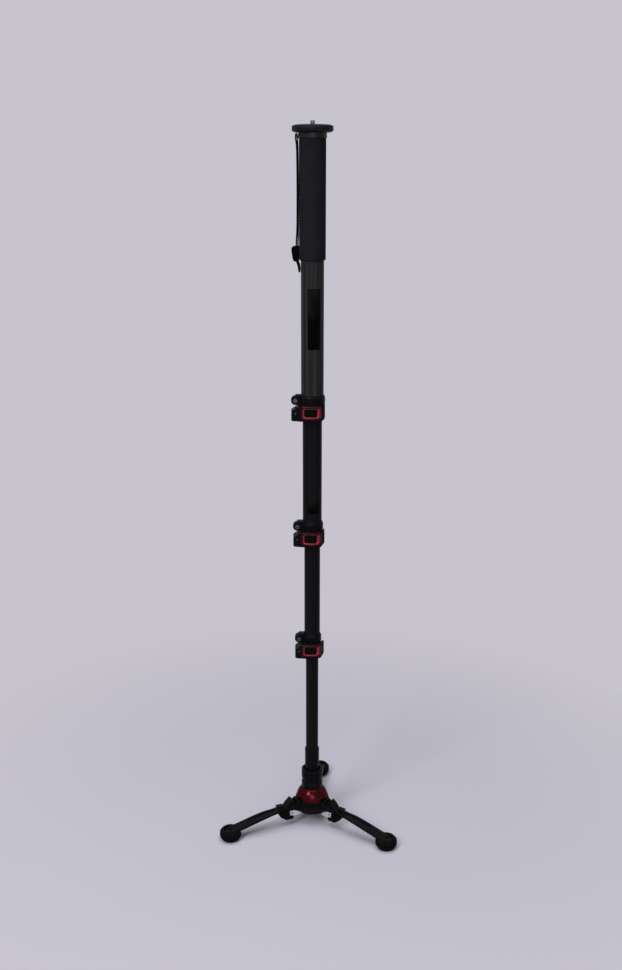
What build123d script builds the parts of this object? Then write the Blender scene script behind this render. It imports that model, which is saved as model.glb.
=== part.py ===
from build123d import *
import os

# Camera monopod: four nested tubes with flip-lever locks on a ball base with three fold-out feet.
# Millimetres. The pole stands on the Z axis, the floor is z = 0 and the levers face -Y.
# At export everything moves together, so that the origin lies under the middle of the bounding box.

# General fits
overrun = 1.0
running_gap = 0.05
slip_gap = 0.3
case_gap = 0.2
edge_break = 0.6
soft_edge = 1.5

# Pole tubes, from the widest at the top (1) to the narrowest at the foot (4)
tube_1_radius = 16.0
tube_step = 2.2
tube_wall = 1.2
tube_1_length = 360.3
tube_length = 375.0
tube_seat = 14.0
bush_length = 18.0
tube_radius = [tube_1_radius - tube_step * count for count in range(4)]

# Flip-lever locks
lock_tops = [679.5, 492.5, 316.0]
lock_height = 36.0
band_wall = 2.1
band_height = 12.0
band_bevel_width = 1.8
band_bevel_height = 4.0
lower_band_inset = 0.8
liner_wall = 1.5
liner_height = 18.0
liner_lift = 0.8
split_width = 2.0
ear_reach = 6.0
ear_radius = 6.2
ear_drop = 8.5
ear_half_depth = 5.0
jaw_front_depth = 3.0
jaw_back_depth = 5.0
jaw_height = 21.0
jaw_top_gap = 0.4

# Lock levers
lever_clear = 0.6
lever_thickness = 3.6
lever_height = 24.0
lever_right = 17.8
lever_lobe_radius = 5.8
lever_corner = 5.0
lever_tip_clear = 3.0
lobe_slope_width = 11.0
lobe_slope_height = 6.4
rim_left = 15.8
rim_right = 13.1
rim_bottom = 2.4
rim_height = 19.5
rim_corner = 2.5
rim_left_width = 4.6
rim_right_width = 6.4
rim_edge_width = 4.0
rim_window_round = 1.8
rim_depth = 1.4
rim_proud = 0.6
rim_bevel = 0.8
pad_sunk = 0.5

# Lock screws
bolt_radius = 1.6
bolt_eye_radius = 3.6
bolt_eye_height = 4.0
bolt_level = 10.5
bolt_slot_gap = 0.25
bolt_window_radius = 2.3
bolt_socket_radius = 1.2
bolt_socket_depth = 0.8
pin_radius = 1.45
pin_end_gap = 0.6
nut_radius = 3.2
nut_length = 2.6
clamp_head_radius = 3.1
clamp_head_length = 2.4
clamp_socket_radius = 1.6
clamp_socket_depth = 1.5

# Head
neck_radius = 19.3
neck_waist_radius = 18.2
neck_waist_height = 1.4
neck_height = 8.8
neck_plug_length = 22.0
platform_radius = 27.9
platform_thickness = 8.4
platform_edge = 0.9
platform_eye_radius = 3.8
platform_eye_depth = 1.0
stud_radius = 3.175
stud_height = 5.5
stud_depth = 15.5
stud_shank_radius = 2.9
stud_tip_chamfer = 0.7
grip_radius = 18.25
grip_length = 159.8
grip_round = 1.4

# Wrist strap and its lug
lug_reach = 2.4
lug_half_width = 8.0
lug_thickness = 3.6
lug_drop = 1.0
lug_slot_length = 12.8
lug_slot_width = 1.7
strap_width = 12.0
strap_thickness = 1.2
strap_gap = 0.3
strap_ply_gap = 0.5
strap_bend_drop = 12.0
strap_tail = 14.0
slider_drop = 1.5
slider_height = 19.0
slider_half_width = 7.8
slider_depth = 8.6
slider_wall = 1.5
slider_round = 1.6
slider_slot_depth = 4.4

# Ball base
ball_radius = 24.5
ball_level = 38.0
ball_top_rise = 19.0
ball_bottom_drop = 12.0
seat_gap = 0.1
seat_bottom_drop = 19.2
seat_top_drop = 7.0
seat_inner_radius = 14.0
seat_base_wall = 3.3
seat_lip_wall = 0.8
hub_bottom_drop = 26.0
hub_foot_radius = 10.0
hub_knee_radius = 16.0
hub_knee_drop = 22.4
hub_belly_radius = 24.0
hub_belly_drop = 18.0
hub_radius = 26.8
hub_shoulder_drop = 8.0
hub_rim_drop = 3.4
hub_bore_gap = 0.5
hub_cap_radius = 8.0
hub_cap_thickness = 1.6
ring_rise = 1.4
ring_gap = 0.2
ring_wall = 0.8
neck_ring_radius = 16.15
neck_ring_height = 11.0
neck_ring_waist_radius = 14.2
neck_ring_waist_height = 4.6
neck_ring_bevel = 2.6
stem_radius = 8.0
stem_height = 4.8
pan_ring_lift = 0.4
pan_ring_height = 15.5
pan_ring_floor = 3.0
pan_ring_bore = 12.9
pan_ring_edge = 0.8
pan_ring_notches = 18
pan_ring_notch_radius = 1.0
pan_ring_notch_height = 10.5
sleeve_radius = 10.95
sleeve_height = 45.7
sleeve_lift = 0.4
sleeve_floor = 7.0
sleeve_groove_drop = 2.5
sleeve_groove_height = 1.6
sleeve_groove_depth = 0.4
spindle_radius = 4.0
spindle_foot_rise = 2.0
spindle_foot_radius = 6.5
spindle_foot_thickness = 3.0
spindle_head_radius = 7.0
spindle_head_thickness = 3.5

# Legs, drawn in the plane of a leg: x is the distance from the pole axis, y the height
leg_azimuths = [84.7, 204.7, 324.7]
leg_names = ["a", "b", "c"]
hinge_reach = 36.4
hinge_level = 33.0
knuckle_radius = 7.4
knuckle_half_width = 7.0
knuckle_peak_height = 10.4
knuckle_back_reach = 6.0
knuckle_back_height = 4.9
cheek_radius = 5.0
cheek_thickness = 2.2
cheek_gap = 0.15
hinge_pin_radius = 2.0
cheek_root = 20.0
post_reach = 27.0
post_top = 39.4
cheek_dip_reach = 31.5
cheek_dip_level = 35.6
cheek_root_bottom = 21.0
arm_top = [
    (47.5, 33.2), (63.0, 28.9), (78.0, 27.3), (93.0, 24.8), (108.0, 21.6), (123.0, 18.1), (138.6, 14.6)]
arm_bottom = [
    (47.5, 28.0), (63.0, 26.0), (78.0, 24.0), (93.0, 20.7), (108.0, 17.2), (123.0, 13.8), (138.6, 10.4)]
arm_plan = [(43.0, 7.0), (48.5, 5.5), (63.0, 7.0), (80.0, 8.4)]
arm_half_width = 8.4
heel_start = 124.0
heel_bottom = 8.0
heel_top = 13.6
recess_half_width = 4.2
recess_depth = 1.4
small_screw_reaches = [113.5, 120.5]
small_screw_radius = 1.7
small_screw_length = 2.4
small_screw_sunk = 0.3
foot_centre = 137.0
foot_radius = 16.3
foot_height = 16.0
foot_sole_radius = 12.5
foot_flare_height = 6.0
foot_shoulder_height = 12.5
foot_top_radius = 13.6
foot_screw_radius = 3.4
foot_screw_head = 1.8
foot_screw_bottom = 3.0
latch_pivot_reach = 36.0
latch_pivot_level = 20.6
latch_lug_radius = 3.0
latch_lug_half_width = 2.0
latch_pin_radius = 1.2
latch_half_width = 5.0
latch_outline = [
    (21.5, 15.6), (21.5, 17.8), (25.4, 20.6), (27.0, 23.2), (30.5, 24.8), (36.0, 24.8), (41.0, 24.0),
    (41.0, 16.0), (33.5, 14.4), (24.0, 14.8)]
latch_slot_start = 32.0
block_outline = [
    (34.5, 12.2), (34.5, 15.2), (40.7, 16.4), (40.7, 24.4), (54.5, 23.4), (57.0, 20.8), (56.0, 17.8),
    (47.5, 11.4), (37.5, 10.9)]
block_half_width = 7.0
tab_start = 50.5
tab_end = 61.0
tab_level = 34.4
tab_thickness = 1.4
tab_half_width = 3.6
tab_post_end = 53.5

# Levels that follow from these sizes
tube_1_top = lock_tops[0] - tube_seat + tube_1_length
neck_top = tube_1_top + neck_height
platform_top = neck_top + platform_thickness
stud_top = platform_top + stud_height
stud_bottom = platform_top - stud_depth
grip_bottom = tube_1_top - grip_length
slider_bottom = grip_bottom - slider_drop
strap_bottom = slider_bottom - strap_tail
ball_top = ball_level + ball_top_rise
ball_bottom = ball_level - ball_bottom_drop
seat_bottom = ball_level - seat_bottom_drop
seat_top = ball_level - seat_top_drop
hub_bottom = ball_level - hub_bottom_drop
hub_rim_level = ball_level - hub_rim_drop
hub_bore_radius = ball_radius + hub_bore_gap
ring_radius = ball_radius + ring_gap + ring_wall
seat_base_radius = (ball_radius**2 - seat_bottom_drop**2) ** 0.5 + seat_base_wall
seat_lip_radius = (ball_radius**2 - seat_top_drop**2) ** 0.5 + seat_lip_wall
ring_top = ball_level + ring_rise
neck_ring_top = ball_top + neck_ring_height
neck_ring_waist_top = neck_ring_top + neck_ring_waist_height
stem_top = neck_ring_waist_top + stem_height
pan_ring_bottom = neck_ring_waist_top + pan_ring_lift
pan_ring_top = pan_ring_bottom + pan_ring_height
sleeve_bottom = stem_top + sleeve_lift
sleeve_top = sleeve_bottom + sleeve_height
spindle_foot = ball_top + spindle_foot_rise

pieces = {}


def tube_piece(bottom, top, outer, inner):
    with BuildPart() as made:
        with BuildSketch(Plane.XY.offset(bottom)):
            Circle(outer)
            Circle(inner, mode=Mode.SUBTRACT)
        extrude(amount=top - bottom)
    return made.part


def turned(points):
    with BuildPart() as made:
        with BuildSketch(Plane.XZ):
            with BuildLine():
                Polyline(*points, close=True)
            make_face()
        revolve(axis=Axis.Z)
    return made.part


# Tubes
lock_bottoms = [top - lock_height for top in lock_tops]
tube_bottom = [bottom + lock_height - tube_seat for bottom in lock_bottoms] + [sleeve_bottom + sleeve_floor]
tube_top = [tube_1_top] + [bottom + tube_length for bottom in tube_bottom[1:]]
for index in range(4):
    name = f"tube_{index + 1}"
    outer = tube_radius[index]
    pieces[name] = tube_piece(tube_bottom[index], tube_top[index], outer, outer - tube_wall)
    if index > 0:
        # The upper guide bush is a plug ring pressed on the tube's end, and it runs in the tube above.
        bore = tube_radius[index - 1] - tube_wall
        pieces[f"{name}_bush"] = tube_piece(
            tube_top[index] - bush_length, tube_top[index], bore - running_gap, outer)


def lever_plan(centre, outer, lobe, grow):
    with BuildSketch() as plan:
        with BuildLine():
            CenterArc((0, 0), outer + grow, 0, 360)
            CenterArc(centre, lobe + grow, 0, 360)
        make_hull()
    return plan.sketch


def lock_pieces(number):
    upper = tube_radius[number - 1]
    lower = tube_radius[number]
    base = lock_bottoms[number - 1]
    band = upper + band_wall
    skirt = band - lower_band_inset
    lever_front = band + lever_clear + lever_thickness
    bore = lower + running_gap + liner_wall
    ear_x = -(band + ear_reach)
    pin_y = -(split_width / 2 + jaw_front_depth + case_gap + lever_lobe_radius)
    band_bottom = lock_height - band_height
    tube_end = lock_height - tube_seat
    back_face = split_width / 2 + jaw_back_depth
    lobe_left = ear_x - lever_lobe_radius
    lobe_top = base + jaw_height - jaw_top_gap

    # What the sloped shoulder takes off the jaws and the lever's lobe
    with BuildPart() as shoulder_cut:
        with BuildSketch(Plane.XZ):
            with BuildLine():
                Polyline(
                    (lobe_left - overrun, lobe_top - lobe_slope_height),
                    (lobe_left, lobe_top - lobe_slope_height),
                    (lobe_left + lobe_slope_width, lobe_top),
                    (lobe_left + lobe_slope_width, base + jaw_height),
                    (lobe_left - overrun, base + jaw_height),
                    close=True)
            make_face()
        extrude(amount=2 * band, both=True)

    with BuildPart() as collar:
        with BuildSketch(Plane.XZ):
            with BuildLine():
                Polyline(
                    (0, base + band_bottom),
                    (band, base + band_bottom),
                    (band, base + lock_height - band_bevel_height),
                    (band - band_bevel_width, base + lock_height),
                    (0, base + lock_height),
                    close=True)
            make_face()
        revolve(axis=Axis.Z)
        with BuildSketch(Plane.XY.offset(base)):
            Circle(skirt)
        extrude(amount=band_bottom)
        # Round ear of the upper band, with its clamp screw along Y
        with BuildSketch(Plane.XZ):
            with Locations((ear_x, base + lock_height - ear_drop)):
                Circle(ear_radius)
            with Locations((ear_x / 2, base + lock_height - ear_drop)):
                Rectangle(-ear_x, 2 * (ear_drop - edge_break))
        extrude(amount=ear_half_depth, both=True)
        # The two jaws of the split lower band
        with BuildSketch(Plane.XY.offset(base)):
            with Locations((ear_x, 0)):
                Circle(back_face)
            with Locations((ear_x / 2, 0)):
                Rectangle(-ear_x, 2 * back_face)
        extrude(amount=jaw_height)
        with BuildSketch(Plane.XY.offset(base)):
            with Locations((ear_x, -(split_width / 2 + jaw_front_depth + back_face))):
                Rectangle(4 * ear_radius, 2 * back_face)
        extrude(amount=jaw_height, mode=Mode.SUBTRACT)
        with BuildSketch(Plane.XY.offset(base)):
            with Locations((ear_x, 0)):
                Rectangle(-2 * ear_x, split_width)
        extrude(amount=jaw_height, mode=Mode.SUBTRACT)
        add(shoulder_cut.part, mode=Mode.SUBTRACT)
        # Bores: the upper tube above, the clearance shoulder, the liner's seat below
        with BuildSketch(Plane.XY.offset(base + tube_end)):
            Circle(upper)
        extrude(amount=tube_seat + overrun, mode=Mode.SUBTRACT)
        with BuildSketch(Plane.XY.offset(base - overrun)):
            Circle(lower + slip_gap)
        extrude(amount=lock_height, mode=Mode.SUBTRACT)
        with BuildSketch(Plane.XY.offset(base - overrun)):
            Circle(bore)
        extrude(amount=liner_lift + liner_height + overrun, mode=Mode.SUBTRACT)
        # Screw holes
        with BuildSketch(Plane.XZ):
            with Locations((ear_x, base + lock_height - ear_drop), (ear_x, base + bolt_level)):
                Circle(bolt_radius)
        extrude(amount=2 * band, both=True, mode=Mode.SUBTRACT)

    with BuildPart() as lever:
        with BuildSketch(Plane.XY.offset(base)):
            add(lever_plan((ear_x, pin_y), lever_front, lever_lobe_radius, 0))
            Circle(band + lever_clear, mode=Mode.SUBTRACT)
            with Locations((0, band - lever_tip_clear)):
                Rectangle(4 * band, 2 * band, mode=Mode.SUBTRACT)
            with Locations((lever_right + band, 0)):
                Rectangle(2 * band, 4 * band, mode=Mode.SUBTRACT)
            with Locations((ear_x, -(split_width / 2 + jaw_front_depth + case_gap) + back_face)):
                Rectangle(4 * ear_radius, 2 * back_face, mode=Mode.SUBTRACT)
            # Left of its pin the lobe is round, so that it turns clear of the jaw
            with Locations((ear_x - ear_radius, pin_y + ear_radius)):
                Rectangle(2 * ear_radius, 2 * ear_radius, mode=Mode.SUBTRACT)
            with Locations((ear_x, pin_y)):
                Circle(lever_lobe_radius)
        extrude(amount=lever_height)
        # The lobe is lower than the lever, below the round ear
        with BuildSketch(Plane.XY.offset(base + jaw_height - jaw_top_gap)):
            with Locations((ear_x, pin_y)):
                Rectangle(2 * ear_reach + 2 * edge_break, 4 * ear_radius)
        extrude(amount=lever_height, mode=Mode.SUBTRACT)
        add(shoulder_cut.part, mode=Mode.SUBTRACT)
        # Lower right corner cut off
        with BuildSketch(Plane.XZ):
            with BuildLine():
                Polyline(
                    (lever_right - lever_corner, base - overrun),
                    (lever_right + overrun, base - overrun),
                    (lever_right + overrun, base + lever_corner),
                    (lever_right, base + lever_corner),
                    (lever_right - lever_corner, base),
                    close=True)
            make_face()
        extrude(amount=2 * band, mode=Mode.SUBTRACT)
        # Seat of the rim and pad
        with BuildSketch(Plane.XY.offset(base + rim_bottom)):
            add(lever_plan((ear_x, pin_y), lever_front, lever_lobe_radius, overrun))
            add(lever_plan((ear_x, pin_y), lever_front, lever_lobe_radius, -rim_depth),
                mode=Mode.SUBTRACT)
            with Locations((-rim_left - 2 * band, 0), (rim_right + 2 * band, 0)):
                Rectangle(4 * band, 4 * band, mode=Mode.SUBTRACT)
            with Locations((0, 2 * band)):
                Rectangle(4 * band, 4 * band, mode=Mode.SUBTRACT)
        extrude(amount=rim_height, mode=Mode.SUBTRACT)
        # Pin hole and the slot for the bolt's eye
        with BuildSketch(Plane.XY.offset(base - overrun)):
            with Locations((ear_x, pin_y)):
                Circle(pin_radius + running_gap)
        extrude(amount=lever_height + 2 * overrun, mode=Mode.SUBTRACT)
        with BuildSketch(Plane.XY.offset(base + bolt_level - bolt_eye_height / 2 - bolt_slot_gap)):
            with Locations((ear_x, pin_y)):
                Circle(bolt_eye_radius + bolt_slot_gap)
            with Locations((
                    ear_x - ear_radius + bolt_radius + bolt_slot_gap,
                    pin_y + ear_radius - bolt_eye_radius - bolt_slot_gap)):
                Rectangle(2 * ear_radius, 2 * ear_radius)
        extrude(amount=bolt_eye_height + 2 * bolt_slot_gap, mode=Mode.SUBTRACT)
        # Round window at the front, on the socket of the tension bolt
        with BuildSketch(Plane.XZ.offset(-pin_y)):
            with Locations((ear_x, base + bolt_level)):
                Circle(bolt_window_radius)
        extrude(amount=2 * lever_lobe_radius, mode=Mode.SUBTRACT)

    # The rim and the pad follow the front of the lever
    mid_x = (rim_right - rim_left) / 2
    rim_length = rim_left + rim_right
    rim_middle = base + rim_bottom + rim_height / 2
    window_x = mid_x - (rim_right_width - rim_left_width) / 2
    window_length = rim_length - rim_left_width - rim_right_width
    window_height = rim_height - 2 * rim_edge_width

    def front_skin(proud):
        with BuildPart() as skin:
            with BuildSketch(Plane.XY.offset(base + rim_bottom)):
                add(lever_plan((ear_x, pin_y), lever_front, lever_lobe_radius, proud))
                add(lever_plan((ear_x, pin_y), lever_front, lever_lobe_radius, -rim_depth),
                    mode=Mode.SUBTRACT)
            extrude(amount=rim_height)
        return skin.part

    def rim_frame(proud, inset):
        with BuildPart() as frame:
            add(front_skin(proud))
            with BuildSketch(Plane.XZ):
                with Locations((mid_x, rim_middle)):
                    RectangleRounded(rim_length - 2 * inset, rim_height - 2 * inset, rim_corner - inset)
                with Locations((window_x, rim_middle)):
                    RectangleRounded(
                        window_length + 2 * inset, window_height + 2 * inset, rim_window_round + inset,
                        mode=Mode.SUBTRACT)
            extrude(amount=4 * band, mode=Mode.INTERSECT)
        return frame.part

    # The rim's raised land is stepped in from both of its edges
    with BuildPart() as rim:
        add(rim_frame(0, 0))
        add(rim_frame(rim_proud, rim_bevel))

    with BuildPart() as pad:
        add(front_skin(-pad_sunk))
        with BuildSketch(Plane.XZ):
            with Locations((window_x, rim_middle)):
                RectangleRounded(window_length, window_height, rim_window_round)
        extrude(amount=4 * band, mode=Mode.INTERSECT)

    with BuildPart() as tension_bolt:
        with BuildSketch(Plane.XY.offset(base + bolt_level - bolt_eye_height / 2)):
            with Locations((ear_x, pin_y)):
                Circle(bolt_eye_radius)
        extrude(amount=bolt_eye_height)
        with BuildSketch(Plane.XZ.offset(-pin_y)):
            with Locations((ear_x, base + bolt_level)):
                Circle(bolt_radius)
        extrude(amount=-(back_face - pin_y + nut_length))
        with BuildSketch(Plane.XZ.offset(-back_face)):
            with Locations((ear_x, base + bolt_level)):
                RegularPolygon(nut_radius, 6)
        extrude(amount=-nut_length)
        with BuildSketch(Plane.XY.offset(base)):
            with Locations((ear_x, pin_y)):
                Circle(pin_radius)
        extrude(amount=lever_height, mode=Mode.SUBTRACT)
        with BuildSketch(Plane.XZ.offset(bolt_eye_radius - pin_y - bolt_socket_depth)):
            with Locations((ear_x, base + bolt_level)):
                RegularPolygon(bolt_socket_radius, 6)
        extrude(amount=overrun, mode=Mode.SUBTRACT)
    with BuildPart() as lever_pin:
        with BuildSketch(Plane.XY.offset(base + pin_end_gap)):
            with Locations((ear_x, pin_y)):
                Circle(pin_radius)
        extrude(amount=jaw_height - jaw_top_gap - 2 * pin_end_gap)
    with BuildPart() as clamp_screw:
        with BuildSketch(Plane.XZ.offset(ear_half_depth + clamp_head_length)):
            with Locations((ear_x, base + lock_height - ear_drop)):
                Circle(clamp_head_radius)
        extrude(amount=-clamp_head_length)
        with BuildSketch(Plane.XZ.offset(ear_half_depth)):
            with Locations((ear_x, base + lock_height - ear_drop)):
                Circle(bolt_radius)
        extrude(amount=-2 * ear_half_depth)
        with BuildSketch(Plane.XZ.offset(ear_half_depth + clamp_head_length)):
            with Locations((ear_x, base + lock_height - ear_drop)):
                RegularPolygon(clamp_socket_radius, 6)
        extrude(amount=-clamp_socket_depth, mode=Mode.SUBTRACT)

    pieces[f"lock_{number}_collar"] = collar.part
    pieces[f"lock_{number}_liner"] = tube_piece(
        base + liner_lift, base + liner_lift + liner_height, bore, lower + running_gap)
    pieces[f"lock_{number}_bolts"] = Compound([tension_bolt.part, lever_pin.part, clamp_screw.part])
    pieces[f"lever_{number}"] = lever.part
    pieces[f"lever_{number}_rim"] = rim.part
    pieces[f"lever_{number}_pad"] = pad.part


for number in (1, 2, 3):
    lock_pieces(number)

# Head: neck with the strap lug, platform, stud and grip
tube_1_bore = tube_1_radius - tube_wall
with BuildPart() as neck:
    with BuildSketch(Plane.XZ):
        with BuildLine():
            Polyline(
                (0, tube_1_top - neck_plug_length),
                (tube_1_bore, tube_1_top - neck_plug_length),
                (tube_1_bore, tube_1_top),
                (neck_radius, tube_1_top),
                (neck_radius, neck_top - neck_waist_height),
                (neck_waist_radius, neck_top - neck_waist_height),
                (neck_waist_radius, neck_top),
                (0, neck_top),
                close=True)
        make_face()
    revolve(axis=Axis.Z)
    with BuildSketch(Plane.XY.offset(tube_1_top + lug_drop)):
        with Locations((-(neck_radius + lug_reach) / 2, 0)):
            Rectangle(neck_radius + lug_reach, 2 * lug_half_width)
        with Locations((-(neck_radius + lug_slot_width / 2), 0)):
            Rectangle(lug_slot_width, lug_slot_length, mode=Mode.SUBTRACT)
    extrude(amount=lug_thickness)
    with BuildSketch(Plane.XY.offset(stud_bottom)):
        Circle(stud_shank_radius)
    extrude(amount=neck_top, mode=Mode.SUBTRACT)
pieces["neck"] = neck.part

with BuildPart() as platform:
    with BuildSketch(Plane.XY.offset(neck_top)):
        Circle(platform_radius)
    extrude(amount=platform_top - neck_top)
    chamfer(platform.edges().group_by(Axis.Z)[0] + platform.edges().group_by(Axis.Z)[-1], length=platform_edge)
    with BuildSketch(Plane.XY.offset(neck_top - overrun)):
        Circle(stud_shank_radius)
    extrude(amount=platform_top, mode=Mode.SUBTRACT)
    with BuildSketch(Plane.XY.offset(platform_top - platform_eye_depth)):
        Circle(platform_eye_radius)
    extrude(amount=overrun + platform_eye_depth, mode=Mode.SUBTRACT)
pieces["platform"] = platform.part

with BuildPart() as camera_stud:
    with BuildSketch(Plane.XY.offset(platform_top)):
        Circle(stud_radius)
    extrude(amount=stud_top - platform_top)
    chamfer(camera_stud.edges().group_by(Axis.Z)[-1], length=stud_tip_chamfer)
    with BuildSketch(Plane.XY.offset(stud_bottom)):
        Circle(stud_shank_radius)
    extrude(amount=platform_top - stud_bottom)
pieces["camera_stud"] = camera_stud.part

with BuildPart() as grip:
    with BuildSketch(Plane.XY.offset(grip_bottom)):
        Circle(grip_radius)
    extrude(amount=tube_1_top - grip_bottom)
    fillet(grip.edges().group_by(Axis.Z)[0] + grip.edges().group_by(Axis.Z)[-1], radius=grip_round)
    with BuildSketch(Plane.XY.offset(grip_bottom - overrun)):
        Circle(tube_1_radius)
    extrude(amount=tube_1_top - grip_bottom + 2 * overrun, mode=Mode.SUBTRACT)
pieces["grip"] = grip.part

# Wrist strap: a flat loop through the lug, down the left of the grip and through the slider
ply_pitch = strap_thickness + strap_ply_gap
ply_half = strap_thickness / 2
grip_ply_x = -(grip_radius + strap_gap + ply_half)
slot_ply_x = -(neck_radius + lug_slot_width / 2)
tip_ply_x = -(neck_radius + lug_reach + strap_gap + ply_half)
slider_inner_x = -(grip_radius + strap_gap)
slider_ply_x = slider_inner_x - slider_wall - strap_gap - ply_half
slider_outer_ply_x = slider_inner_x - slider_wall - slider_slot_depth + strap_gap + ply_half
tube_ply_x = -(tube_1_radius + strap_gap + ply_half)
strap_top = tube_1_top + lug_drop + lug_thickness + strap_gap + ply_half
slider_top = slider_bottom + slider_height
with BuildPart() as wrist_strap:
    with BuildSketch(Plane.XZ):
        with BuildLine():
            Polyline(
                (slot_ply_x, strap_top),
                (slot_ply_x, tube_1_top - soft_edge),
                (grip_ply_x, tube_1_top - strap_bend_drop),
                (grip_ply_x, slider_top + strap_bend_drop),
                (slider_ply_x, slider_top),
                (slider_ply_x, slider_bottom),
                (tube_ply_x, strap_bottom),
                (tube_ply_x - ply_pitch, strap_bottom),
                (slider_outer_ply_x, slider_bottom),
                (slider_outer_ply_x, slider_top),
                (grip_ply_x - ply_pitch, slider_top + strap_bend_drop),
                (grip_ply_x - ply_pitch, tube_1_top - strap_bend_drop),
                (tip_ply_x, tube_1_top - soft_edge),
                (tip_ply_x, strap_top),
                close=True)
        trace(line_width=strap_thickness)
    extrude(amount=strap_width / 2, both=True)
pieces["wrist_strap"] = wrist_strap.part

with BuildPart() as strap_slider:
    with BuildSketch(Plane.XY.offset(slider_bottom)):
        with Locations((slider_inner_x - slider_depth / 2, 0)):
            RectangleRounded(slider_depth, 2 * slider_half_width, slider_round)
        with Locations((slider_inner_x - slider_wall - slider_slot_depth / 2, 0)):
            Rectangle(slider_slot_depth, strap_width + 2 * strap_gap, mode=Mode.SUBTRACT)
    extrude(amount=slider_height)
pieces["strap_slider"] = strap_slider.part

# Ball base: ball on its seat, neck, pan lock ring, sleeve and spindle
with BuildPart() as swivel_ball:
    with BuildSketch(Plane.XZ):
        with Locations((0, ball_level)):
            Circle(ball_radius)
        with Locations((-ball_radius, ball_level)):
            Rectangle(2 * ball_radius, 2 * ball_radius, mode=Mode.SUBTRACT)
        with Locations((0, ball_top + ball_radius), (0, ball_bottom - ball_radius)):
            Rectangle(2 * ball_radius, 2 * ball_radius, mode=Mode.SUBTRACT)
    revolve(axis=Axis.Z)
pieces["swivel_ball"] = swivel_ball.part

with BuildPart() as ball_seat:
    with BuildSketch(Plane.XZ):
        with BuildLine():
            Polyline(
                (seat_inner_radius, seat_bottom),
                (seat_base_radius, seat_bottom),
                (seat_lip_radius, seat_top),
                (seat_inner_radius, seat_top),
                close=True)
        make_face()
        with Locations((0, ball_level)):
            Circle(ball_radius + seat_gap, mode=Mode.SUBTRACT)
    revolve(axis=Axis.Z)
pieces["ball_seat"] = ball_seat.part

pocket_top = spindle_foot + spindle_foot_thickness
with BuildPart() as ball_neck:
    with BuildSketch(Plane.XZ):
        with BuildLine():
            Polyline(
                (0, ball_top),
                (neck_ring_radius - soft_edge, ball_top),
                (neck_ring_radius, ball_top + soft_edge),
                (neck_ring_radius, neck_ring_top - neck_ring_bevel / 2),
                (neck_ring_waist_radius, neck_ring_top),
                (neck_ring_waist_radius, neck_ring_waist_top),
                (stem_radius, neck_ring_waist_top),
                (stem_radius, stem_top),
                (0, stem_top),
                close=True)
        make_face()
    revolve(axis=Axis.Z)
    with BuildSketch(Plane.XY.offset(ball_top)):
        Circle(spindle_foot_radius + slip_gap)
    extrude(amount=pocket_top + case_gap - ball_top, mode=Mode.SUBTRACT)
    with BuildSketch(Plane.XY.offset(ball_top)):
        Circle(spindle_radius + running_gap)
    extrude(amount=stem_top, mode=Mode.SUBTRACT)
pieces["ball_neck"] = ball_neck.part

pan_floor_top = pan_ring_bottom + pan_ring_floor
with BuildPart() as pan_lock_ring:
    with BuildSketch(Plane.XY.offset(pan_ring_bottom)):
        Circle(neck_ring_radius)
    extrude(amount=pan_ring_top - pan_ring_bottom)
    chamfer(pan_lock_ring.edges().group_by(Axis.Z)[0] + pan_lock_ring.edges().group_by(Axis.Z)[-1],
            length=pan_ring_edge)
    with BuildSketch(Plane.XY.offset(pan_ring_bottom - overrun)):
        Circle(stem_radius + running_gap)
    extrude(amount=pan_ring_top, mode=Mode.SUBTRACT)
    with BuildSketch(Plane.XY.offset(pan_floor_top)):
        Circle(pan_ring_bore)
    extrude(amount=pan_ring_top, mode=Mode.SUBTRACT)
    with BuildSketch(Plane.XY.offset(pan_ring_top - pan_ring_notch_height)):
        with PolarLocations(neck_ring_radius, pan_ring_notches):
            Circle(pan_ring_notch_radius)
    extrude(amount=pan_ring_top, mode=Mode.SUBTRACT)
pieces["pan_lock_ring"] = pan_lock_ring.part

sleeve_seat = sleeve_bottom + sleeve_floor
with BuildPart() as foot_sleeve:
    with BuildSketch(Plane.XY.offset(sleeve_bottom)):
        Circle(sleeve_radius)
    extrude(amount=sleeve_top - sleeve_bottom)
    chamfer(foot_sleeve.edges().group_by(Axis.Z)[-1], length=edge_break)
    with BuildSketch(Plane.XY.offset(sleeve_seat)):
        Circle(tube_radius[3])
    extrude(amount=sleeve_top, mode=Mode.SUBTRACT)
    with BuildSketch(Plane.XY.offset(sleeve_bottom - overrun)):
        Circle(spindle_radius)
    extrude(amount=sleeve_floor + 2 * overrun, mode=Mode.SUBTRACT)
    with BuildSketch(Plane.XY.offset(sleeve_top - sleeve_groove_drop - sleeve_groove_height)):
        Circle(sleeve_radius + overrun)
        Circle(sleeve_radius - sleeve_groove_depth, mode=Mode.SUBTRACT)
    extrude(amount=sleeve_groove_height, mode=Mode.SUBTRACT)
pieces["foot_sleeve"] = foot_sleeve.part

pieces["foot_spindle"] = turned([
    (0, spindle_foot),
    (spindle_foot_radius, spindle_foot),
    (spindle_foot_radius, pocket_top),
    (spindle_radius, pocket_top),
    (spindle_radius, sleeve_seat),
    (spindle_head_radius, sleeve_seat),
    (spindle_head_radius, sleeve_seat + spindle_head_thickness),
    (0, sleeve_seat + spindle_head_thickness)])


def leg_plane(azimuth):
    return Plane.XZ.rotated((0, 0, azimuth))


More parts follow.
